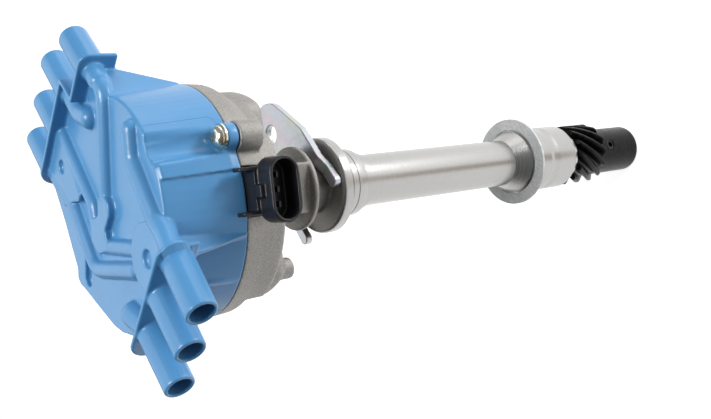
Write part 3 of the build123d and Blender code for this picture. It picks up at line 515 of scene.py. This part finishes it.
def casting():
    """Bead-blasted casting above the flange and lathe-turned metal below it."""
    material, shader = finish_for("cast_and_turned_aluminium", (0.60, 0.58, 0.55), 0.5, metallic=1.0)
    here = add_node(material, "ShaderNodeTexCoord").outputs["Object"]
    height = add_node(material, "ShaderNodeSeparateXYZ", Vector=here).outputs["Z"]
    is_cast = add_node(material, "ShaderNodeMapRange", Value=height, From_Min=MACHINED_TOP,
                       From_Max=CAST_LOW, To_Min=0.0, To_Max=1.0).outputs["Result"]
    grain = noise_in(material, 1700.0, detail=4.0, rough=0.75)
    cloud = noise_in(material, 60.0, detail=3.0)
    cast_low = blend_colours(material, spread(material, cloud, 0, 1), (0.235, 0.227, 0.213, 1),
                             (0.30, 0.29, 0.273, 1))
    cast_tint = blend_colours(material, spread(material, grain, 0, 1, 0.36, 0.72), cast_low,
                              (0.50, 0.487, 0.463, 1))
    rings = noise_in(material, 1.0, stretch=(2, 2, 7000), detail=1.0)
    turned_tint = blend_colours(material, spread(material, rings, 0, 1), (0.40, 0.394, 0.386, 1),
                                (0.45, 0.445, 0.437, 1))
    tint = blend_colours(material, is_cast, turned_tint, cast_tint)
    join(material, tint, shader.inputs["Base Color"])
    cast_rough = spread(material, grain, 0.48, 0.68)
    turned_rough = spread(material, rings, 0.20, 0.34)
    rough = add_node(material, "ShaderNodeMix", {"data_type": "FLOAT"}, _0=is_cast, _2=turned_rough,
                     _3=cast_rough)
    join(material, rough.outputs[0], shader.inputs["Roughness"])
    cast_bump = relief(material, grain, 0.45, 0.0004)
    ring_bump = relief(material, rings, 0.02, 0.0001)
    normal = add_node(material, "ShaderNodeMix", {"data_type": "VECTOR"}, _0=is_cast, _4=ring_bump,
                      _5=cast_bump)
    join(material, normal.outputs[1], shader.inputs["Normal"])
    return material


CASTING = casting()
print("finish:", CASTING.name)

# %% [markdown]
# The turned half of the housing and the cap's screws are lathe shapes. A lathe shape is one outline of
# radius and height, taken once round the axis, so a helper makes rings of points and joins them.

# %% Lathe helper
def spun(name, outline, sides=72):
    """Lathe shape from radius and height pairs in millimetres."""
    build = bmesh.new()
    rings = []
    for radius, height in outline:
        if radius == 0:
            rings.append([build.verts.new((0, 0, height * MM))])
            continue
        turns = [2 * math.pi * k / sides for k in range(sides)]
        rings.append([build.verts.new((radius * MM * math.cos(t), radius * MM * math.sin(t), height * MM))
                      for t in turns])
    for upper, lower in zip(rings, rings[1:]):
        for k in range(sides):
            corners = [upper[k % len(upper)], lower[k % len(lower)], lower[(k + 1) % len(lower)],
                       upper[(k + 1) % len(upper)]]
            build.faces.new(list(dict.fromkeys(corners)))
    bmesh.ops.recalc_face_normals(build, faces=build.faces)
    mesh = bpy.data.meshes.new(name)
    build.to_mesh(mesh)
    build.free()
    return mesh


# %% [markdown]
# Only the cast half of the housing has soft edges. The half below the flange's rim comes off a lathe, with
# crisp corners and a shallow waist that smoothing would wash out. So the soft copy is cut off at the rim
# and the turned half is made the way a lathe makes it. Down from the rim come the hub with two fine
# grooves, a collar, the stem, a flare and the pilot, whose waist is a shallow hollow.

# %% Turned stem
CUT_HEIGHT = 3.4
CORNER_ANGLE = math.radians(20)
STEM_SIDES = 160
FLANGE_R = 20.75
HUB_R = 14.8
COLLAR_R = 12.6
STEM_R = 11.5
FLARE_R = 15.6
PILOT_R = 16.2
BORE_R = 8.6
GROOVE_HEIGHTS = (-4.5, -7.7)
GROOVE_DEEP = 0.2
PILOT_TOP = -118.4
PILOT_END = -151.7
WAIST_MIDDLE = -135.7
WAIST_WIDTH = 6.6
WAIST_DEEP = 0.60


def cut_away_below(mesh, height):
    """Removes the part of a mesh below a height and leaves it open there."""
    build = bmesh.new()
    build.from_mesh(mesh)
    parts = build.verts[:] + build.edges[:] + build.faces[:]
    bmesh.ops.bisect_plane(build, geom=parts, plane_co=(0, 0, height), plane_no=(0, 0, 1), clear_inner=True)
    build.to_mesh(mesh)
    build.free()


housing = soft_copy("housing", "housing_casting", 0.5 * MM, 4)
cut_away_below(housing.data, CUT_HEIGHT * MM)
outline = [(FLANGE_R, CUT_HEIGHT), (FLANGE_R, 0.4), (FLANGE_R - 0.4, 0), (HUB_R, 0)]
for height in GROOVE_HEIGHTS:
    outline += [(HUB_R, height + 0.2), (HUB_R - GROOVE_DEEP, height), (HUB_R, height - 0.2)]
outline += [(HUB_R, -11.2), (14.5, -12.4), (13.4, -13.4), (COLLAR_R, -14.0), (COLLAR_R, -16.6),
            (STEM_R, -17.2), (STEM_R, -110.0), (FLARE_R, -117.2), (FLARE_R, PILOT_TOP),
            (PILOT_R - 0.3, PILOT_TOP), (PILOT_R, PILOT_TOP - 0.3)]
outline.append((PILOT_R, WAIST_MIDDLE + WAIST_WIDTH / 2 + 0.1))
for step in np.linspace(0, 1, 11):
    outline.append((PILOT_R - WAIST_DEEP * math.sin(step * math.pi),
                    WAIST_MIDDLE + WAIST_WIDTH * (0.5 - step)))
outline += [(PILOT_R, WAIST_MIDDLE - WAIST_WIDTH / 2 - 0.1), (PILOT_R, PILOT_END + 0.6),
            (PILOT_R - 0.6, PILOT_END), (BORE_R, PILOT_END), (BORE_R, -140.0)]
stem = bpy.data.objects.new("turned_stem", spun("turned_stem", outline, STEM_SIDES))
scene.collection.objects.link(stem)
for face in stem.data.polygons:
    face.use_smooth = True
stem.data.set_sharp_from_angle(angle=CORNER_ANGLE)
for piece in (housing, stem):
    stand_for(piece, "housing", "distributor", CASTING)
print("stem faces:", len(stem.data.polygons))

# %% [markdown]
# The connector is a satin black plastic with fine moulding texture. The rotor inside is a duller black.
# Both share one recipe with other numbers.

# %% Black plastics and rubber
def dark_moulding(name, colour, rough_low, rough_high, relief_strength):
    """Black moulded plastic or rubber with a fine skin."""
    material, shader = finish_for(name, colour, rough_low)
    fine = noise_in(material, 1300.0, detail=3.0)
    join(material, spread(material, fine, rough_low, rough_high), shader.inputs["Roughness"])
    cloud = noise_in(material, 70.0, detail=2.0)
    lighter = (*[min(1.0, c * 1.7 + 0.002) for c in colour], 1)
    join(material, blend_colours(material, spread(material, cloud, 0, 1), (*colour, 1), lighter),
         shader.inputs["Base Color"])
    join(material, relief(material, fine, relief_strength, 0.0003), shader.inputs["Normal"])
    return material


CONNECTOR_BLACK = dark_moulding("connector_black_plastic", (0.006, 0.006, 0.008), 0.30, 0.42, 0.12)
connector = soft_copy("sensor_body", "connector_moulding", 0.3 * MM, 3)
stand_for(connector, "sensor_body", "distributor", CONNECTOR_BLACK)
dress(["rotor_body"], dark_moulding("rotor_black_plastic", (0.012, 0.012, 0.012), 0.40, 0.55, 0.15))
dress(["oil_seal"], dark_moulding("seal_rubber", (0.010, 0.010, 0.010), 0.55, 0.75, 0.25))
dress(["carbon_brush"], dark_moulding("pressed_carbon", (0.018, 0.018, 0.019), 0.50, 0.70, 0.30))

# %% [markdown]
# Plain metal pieces differ in tint, roughness and the direction of their marks. One recipe takes those
# as numbers: a stretched noise stands for grinding, rolling or drawing marks.

# %% Plain metals
def marked_metal(name, dark, light, rough_low, rough_high, stretch, scale, relief_strength=0.1):
    """Metal with marks stretched along one direction."""
    material, shader = finish_for(name, dark, rough_low, metallic=1.0)
    marks = noise_in(material, scale, stretch=stretch, detail=3.0)
    join(material, blend_colours(material, spread(material, marks, 0, 1), (*dark, 1), (*light, 1)),
         shader.inputs["Base Color"])
    join(material, spread(material, marks, rough_low, rough_high), shader.inputs["Roughness"])
    join(material, relief(material, marks, relief_strength, 0.0002), shader.inputs["Normal"])
    return material


EVEN = (1, 1, 1)
GROUND_STEEL = marked_metal("ground_steel", (0.42, 0.42, 0.43), (0.60, 0.60, 0.60), 0.24, 0.38,
                            (1, 1, 30), 90.0)
dress(["main_shaft", "shutter_wheel", "gear_thrust_washer", "wave_washer", "gear_shim",
       "floor_thrust_washer", "vent_screens", "sensor_magnet", "brush_spring"], GROUND_STEEL)
DARK_PIN = marked_metal("dark_pin", (0.03, 0.03, 0.03), (0.08, 0.078, 0.075), 0.35, 0.5, EVEN, 500.0)
dress(["gear_roll_pin"], DARK_PIN)
PIN_METAL = marked_metal("dull_tinned_pin", (0.05, 0.05, 0.05), (0.09, 0.09, 0.09), 0.45, 0.6, EVEN, 300.0)
dress(["connector_pins"], PIN_METAL)
BRASS = marked_metal("bright_brass", (0.62, 0.42, 0.17), (0.80, 0.60, 0.30), 0.22, 0.36, (1, 1, 6), 160.0)
dress(["coil_terminal", "contact_posts", "rotor_blade"], BRASS)
stand_for(contacts, "plug_terminals", "distributor", BRASS)
BRONZE = marked_metal("sintered_bronze", (0.33, 0.20, 0.09), (0.50, 0.33, 0.17), 0.45, 0.65, EVEN, 900.0,
                      0.3)
dress(["upper_bushing", "lower_bushing"], BRONZE)
print("metals:", [metal.name for metal in (GROUND_STEEL, DARK_PIN, PIN_METAL, BRASS, BRONZE)])

# %% [markdown]
# Zinc plating is bright, with a faint rainbow where the passivation film varies in thickness. A slow
# noise through a colour ramp gives the drift from yellow over pink to blue green.

# %% Zinc plating
def zinc(name, stops, base_rough, drift_scale, mark_stretch=(1, 1, 1)):
    """Plated steel whose thin film drifts between tints."""
    material, shader = finish_for(name, stops[0][1], base_rough, metallic=1.0)
    drift = noise_in(material, drift_scale, detail=2.0)
    tints = add_node(material, "ShaderNodeValToRGB", Fac=spread(material, drift, 0, 1))
    elements = tints.color_ramp.elements
    while len(elements) < len(stops):
        elements.new(0.5)
    for element, (position, colour) in zip(elements, stops):
        element.position = position
        element.color = (*colour, 1)
    join(material, tints.outputs["Color"], shader.inputs["Base Color"])
    marks = noise_in(material, 700.0, stretch=mark_stretch, detail=4.0)
    join(material, spread(material, marks, base_rough - 0.06, base_rough + 0.10),
         shader.inputs["Roughness"])
    join(material, relief(material, marks, 0.10, 0.0002), shader.inputs["Normal"])
    return material


CLAMP_ZINC = zinc("clamp_zinc", [(0.0, (0.47, 0.53, 0.55)), (0.35, (0.51, 0.55, 0.54)),
                                 (0.55, (0.56, 0.51, 0.55)), (0.75, (0.50, 0.54, 0.59)),
                                 (1.0, (0.53, 0.55, 0.50))], 0.34, 55.0)
clamp = soft_copy("hold_down_clamp", "clamp_stamping", 0.3 * MM, 6)
stand_for(clamp, "hold_down_clamp", "clamp", CLAMP_ZINC)
SCREW_ZINC = zinc("screw_zinc", [(0.0, (0.82, 0.76, 0.56)), (0.5, (0.86, 0.84, 0.76)),
                                 (1.0, (0.78, 0.70, 0.50))], 0.16, 260.0)
dress(["cap_washers", "sensor_screws", "rotor_screws"], SCREW_ZINC)

# %% [markdown]
# The recess of a real screw is pressed in by a punch with a tapered cross. The same cross is built here
# from two boxes at right angles, narrower at the foot, and it is cut out of the head in the next step.

# %% Cross punch
HEAD_TALL = 2.6 * MM


def cross_punch(wide=0.95, reach=2.1, deep=1.5):
    """Tapered cross that cuts a screw's recess, in millimetres. It is narrower at its foot."""
    build = bmesh.new()
    head_top = HEAD_TALL / MM
    low_x, low_y = reach * 0.45, wide * 0.35
    for quarter in (0, 1):
        box = bmesh.ops.create_cube(build, size=1.0)["verts"]
        for v in box:
            top = v.co.z > 0
            x = math.copysign(reach if top else low_x, v.co.x)
            y = math.copysign(wide / 2 if top else low_y, v.co.y)
            v.co = (x, y, head_top + 0.3 if top else head_top - deep)
        turn = Matrix.Rotation(quarter * math.pi / 2, 3, "Z")
        bmesh.ops.rotate(build, verts=box, cent=(0, 0, 0), matrix=turn)
    bmesh.ops.scale(build, vec=(MM, MM, MM), verts=build.verts)
    mesh = bpy.data.meshes.new("cross_punch")
    build.to_mesh(mesh)
    build.free()
    return bpy.data.objects.new("cross_punch", mesh)


# %% [markdown]
# Two pan head screws hold the cap. A pan head is a lathe shape, so its outline is spun round its axis. Both
# screws are copies of one, with their crosses at different angles, as no two screws stop at the same one.

# %% Pan head screws
SCREW_PLACES = [(CHANNEL_PLACE[0], CHANNEL_PLACE[1]), (-CHANNEL_PLACE[0], -CHANNEL_PLACE[1])]
screw_low, screw_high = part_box("cap_screws")
HEAD_OUTLINE = [(0, 2.60), (1.6, 2.58), (2.6, 2.42), (3.3, 2.08), (3.85, 1.50), (4.12, 0.85), (4.2, 0.35),
                (4.12, 0.06), (4.0, 0.0), (2.0, 0.0)]
HEAD_CORNER = math.radians(38)
CROSS_TURNS = (0.5, 1.4)


def pan_head_screws():
    """Both cap screws, heads cut with a cross and shanks down into the housing."""
    shank_deep = (screw_high.z - screw_low.z - HEAD_TALL) / MM
    outline = HEAD_OUTLINE + [(2.0, 0.4 - shank_deep), (1.6, -shank_deep), (0, -shank_deep)]
    screw = bpy.data.objects.new("cap_screw_heads", spun("cap_screw_heads", outline))
    scene.collection.objects.link(screw)
    punch = cross_punch()
    scene.collection.objects.link(punch)
    cut = screw.modifiers.new("recess", "BOOLEAN")
    cut.operation = "DIFFERENCE"
    cut.object = punch
    cut.use_self = True
    mesh = settled(screw)
    bpy.data.objects.remove(punch)
    build = bmesh.new()
    for (x, y), cross_turn in zip(SCREW_PLACES, CROSS_TURNS):
        start = len(build.verts)
        build.from_mesh(mesh)
        build.verts.ensure_lookup_table()
        new = build.verts[start:]
        turn = Matrix.Rotation(cross_turn, 3, "Z")
        bmesh.ops.rotate(build, verts=new, cent=(0, 0, 0), matrix=turn)
        bmesh.ops.translate(build, verts=new, vec=(x, y, screw_high.z - HEAD_TALL))
    for face in build.faces:
        face.smooth = True
    build.to_mesh(mesh)
    build.free()
    mesh.set_sharp_from_angle(angle=HEAD_CORNER)
    stand_for(screw, "cap_screws", "distributor", SCREW_ZINC)
    print("screws:", len(mesh.polygons), "faces")


pan_head_screws()

# %% [markdown]
# Between the pilot and the gear sits a spring washer that is bent into three waves. It is a flat ring whose
# height follows a sine as it goes round, made here point by point.

# %% Wave washer
WAVE_INNER = 10.9 * MM
WAVE_THICK = 0.5 * MM
WAVES = 3
WAVE_CORNER = math.radians(40)


def wave_ring(sides=144):
    """Thin ring bent into waves that fill the height of its CAD solid."""
    low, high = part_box("wave_washer")
    swing = (high.z - low.z - WAVE_THICK) / 2
    middle = (high.z + low.z) / 2
    build = bmesh.new()
    loops = []
    for k in range(sides):
        turn = 2 * math.pi * k / sides
        lift = middle + swing * math.sin(WAVES * turn)
        loop = []
        for radius, side_z in ((WAVE_INNER, -1), (high.x, -1), (high.x, 1), (WAVE_INNER, 1)):
            loop.append(build.verts.new((radius * math.cos(turn), radius * math.sin(turn),
                                         lift + side_z * WAVE_THICK / 2)))
        loops.append(loop)
    for k in range(sides):
        here, there = loops[k], loops[(k + 1) % sides]
        for j in range(4):
            build.faces.new((here[j], there[j], there[(j + 1) % 4], here[(j + 1) % 4]))
    bmesh.ops.recalc_face_normals(build, faces=build.faces)
    for face in build.faces:
        face.smooth = True
    mesh = bpy.data.meshes.new("wave_washer_ring")
    build.to_mesh(mesh)
    build.free()
    mesh.set_sharp_from_angle(angle=WAVE_CORNER)
    ring = bpy.data.objects.new("wave_washer_ring", mesh)
    scene.collection.objects.link(ring)
    stand_for(ring, "wave_washer", "shaft_assembly", GROUND_STEEL)
    print("wave swing mm:", round(swing / MM, 2))


wave_ring()

# %% [markdown]
# Black oxide on the gear is a thin conversion coat: nearly black, satin, with steel showing faintly
# through. It keeps a metal's broad reflections, so it is a dark metal and not a black paint.

# %% Black oxide
OXIDE = marked_metal("black_oxide", (0.006, 0.006, 0.0065), (0.018, 0.018, 0.0185), 0.30, 0.46, EVEN,
                     420.0, 0.25)
gear = soft_copy("drive_gear", "helical_gear", 0.3 * MM, 3)
stand_for(gear, "drive_gear", "shaft_assembly", OXIDE)

# %% [markdown]
# The base gasket is pressed fibre paper, pale blue grey, with a grain of long fibres that runs one way.

# %% Pressed fibre
def pressed_fibre():
    """Pale gasket paper with long fibres."""
    material, shader = finish_for("pressed_fibre", (0.45, 0.48, 0.50), 0.7)
    streaks = noise_in(material, 420.0, stretch=(1, 3, 1), detail=5.0, rough=0.7)
    blots = noise_in(material, 150.0, detail=3.0)
    pale = blend_colours(material, spread(material, streaks, 0, 1, 0.35, 0.65), (0.37, 0.375, 0.375, 1),
                         (0.56, 0.565, 0.56, 1))
    tint = blend_colours(material, spread(material, blots, 0, 0.45, 0.45, 0.75), pale,
                         (0.30, 0.33, 0.36, 1))
    join(material, tint, shader.inputs["Base Color"])
    join(material, relief(material, streaks, 0.35, 0.0003), shader.inputs["Normal"])
    return material


FIBRE = pressed_fibre()
dress(["base_gasket"], FIBRE)
print("finish:", FIBRE.name)

# %% [markdown]
# The floor's shade is worked out from where a point lies, so three helpers turn a place into numbers: the
# distance along a direction, one step of arithmetic, and a soft step from 0 to 1.

# %% Helpers for the floor
def along(material, place, direction):
    """Distance of a point along a direction, in metres."""
    return add_node(material, "ShaderNodeVectorMath", {"operation": "DOT_PRODUCT"}, _0=place,
                    _1=direction).outputs["Value"]


def number(material, operation, first, second=0.0):
    """One arithmetic step."""
    return add_node(material, "ShaderNodeMath", {"operation": operation}, _0=first, _1=second).outputs[0]


def soft_step(material, source, start, end):
    """Goes smoothly from 0 at the start to 1 at the end."""
    return add_node(material, "ShaderNodeMapRange", {"interpolation_type": "SMOOTHSTEP"}, Value=source,
                    From_Min=start, From_Max=end).outputs["Result"]


# %% [markdown]
# The floor is a wide pale sheet below the part. It glows a little, as an overexposed studio sweep does, so
# the background goes to white. The turned stem is a mirror of this floor. The floor's colour and glow are
# not even: a painted falloff darkens it towards its rim, and a soft warm painted shade lies on the side
# where the photographer stands. Mirrored in the stem, that painted shade is the dark line along it.

# %% Floor
FLOOR_SIZE = 8.0
FLOOR_DROP = 0.4 * MM
FRONT = Vector((-0.686, -0.727, 0))
ASIDE = Vector((-FRONT.y, FRONT.x, 0))
FLOOR_GLOW = 0.80
# Painted falloff: the floor's colour and glow darken away from this bright middle towards its rim.
BRIGHT_MIDDLE = (0.35, 0.45)
RIM_FALL = (0.70, 1.70)
RIM_DIM = 0.55
# Painted shade: these numbers place a soft warm wedge that darkens the floor in front of the part.
SHADE_OPENING = (0.09, 0.28)
SHADE_START = (0.04, 0.09)
SHADE_END = (0.22, 0.38)
SHADE_DIM = 0.80


def studio_floor():
    """White studio sheet that glows, with a painted soft shade in front of the part and a painted falloff
    round its rim.
    """
    mesh = bpy.data.meshes.new("studio_floor")
    half = FLOOR_SIZE / 2
    z = cad_low.z - FLOOR_DROP
    corners = [(-half, -half, z), (half, -half, z), (half, half, z), (-half, half, z)]
    mesh.from_pydata(corners, [], [(0, 1, 2, 3)])
    floor = bpy.data.objects.new("studio_floor", mesh)
    scene.collection.objects.link(floor)
    material, shader = finish_for("floor_white", (0.7, 0.7, 0.7), 0.9, specular=0.1)
    here = add_node(material, "ShaderNodeTexCoord").outputs["Object"]
    # Painted shade: a wedge in front of the part darkens and warms the floor's colour and glow.
    front = along(material, here, FRONT)
    aside = number(material, "ABSOLUTE", along(material, here, ASIDE))
    open_out = number(material, "DIVIDE", aside, number(material, "MAXIMUM", front, 0.001))
    in_line = number(material, "SUBTRACT", 1.0, soft_step(material, open_out, *SHADE_OPENING))
    reach = number(material, "SUBTRACT", 1.0, soft_step(material, front, *SHADE_END))
    reach = number(material, "MULTIPLY", reach, soft_step(material, front, *SHADE_START))
    painted_shade = number(material, "MULTIPLY", in_line, reach)
    # Painted falloff towards the rim; the painted shade and this falloff together darken the floor's colour
    # and glow.
    middle = add_node(material, "ShaderNodeVectorMath", {"operation": "DISTANCE"}, _0=here,
                      _1=(*BRIGHT_MIDDLE, 0)).outputs["Value"]
    painted_rim_falloff = number(material, "MULTIPLY", soft_step(material, middle, *RIM_FALL), RIM_DIM)
    painted_dim = number(material, "MAXIMUM", number(material, "MULTIPLY", painted_shade, SHADE_DIM), painted_rim_falloff)
    tint = blend_colours(material, painted_dim, (0.48, 0.48, 0.48, 1), (0.36, 0.32, 0.28, 1))
    join(material, tint, shader.inputs["Base Color"])
    glow = number(material, "MULTIPLY", number(material, "SUBTRACT", 1.0, painted_dim), FLOOR_GLOW)
    painted_shade_glow_tint = blend_colours(material, painted_shade, (1, 1, 1, 1), (1.0, 0.80, 0.60, 1))
    join(material, painted_shade_glow_tint, shader.inputs["Emission Color"])
    join(material, glow, shader.inputs["Emission Strength"])
    mesh.materials.append(material)
    return floor


studio_floor()
print("floor width in metres:", FLOOR_SIZE)
